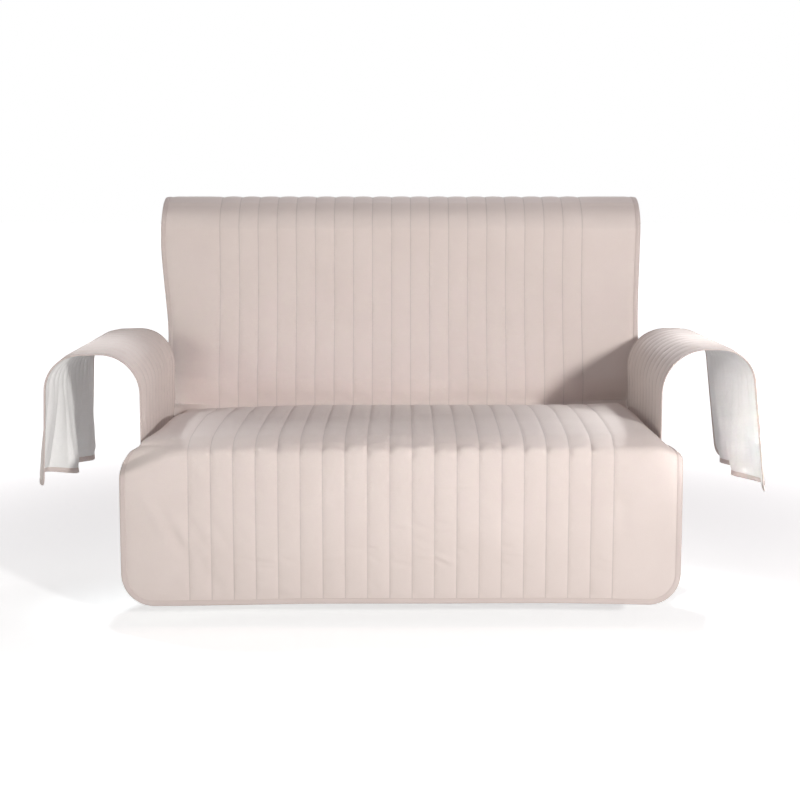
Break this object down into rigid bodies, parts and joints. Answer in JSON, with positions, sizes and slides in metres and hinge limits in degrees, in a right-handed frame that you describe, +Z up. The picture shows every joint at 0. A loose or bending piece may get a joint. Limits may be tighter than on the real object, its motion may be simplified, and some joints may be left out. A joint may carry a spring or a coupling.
{
  "type": "fitted quilted slipcover for a two-seat sofa",
  "caption": "Quilted protective slipcover hanging in the shape of a two-seat sofa: a long seat and back panel, two arm panels with loose outer flaps, and bound edges.",
  "frame": {"origin": "underside of the cloth on the middle of the backrest's top, where the sofa holds the cover up", "axes": "+X to the viewer's right along the sofa, +Y from the front drop to the back, +Z up; the sofa's floor is 0.918 m below the origin"},
  "size_m": [1.6271, 0.8818, 0.8747],
  "materials": {
    "quilted_cloth": "smooth brushed microfibre, pale pinkish beige, quilted in straight channels",
    "binding_tape": "plain woven tape, a shade darker than the cloth",
    "lining": "thin pale grey non-woven backing",
    "sewing_thread": "matt polyester thread, close to the cloth's colour"
  },
  "bodies": {
    "root": {"main_panel": "quilted_cloth", "main_binding": "binding_tape", "left_arm_panel": "quilted_cloth", "left_arm_binding": "binding_tape", "right_arm_panel": "quilted_cloth", "right_arm_binding": "binding_tape"}
  },
  "joints": []
}
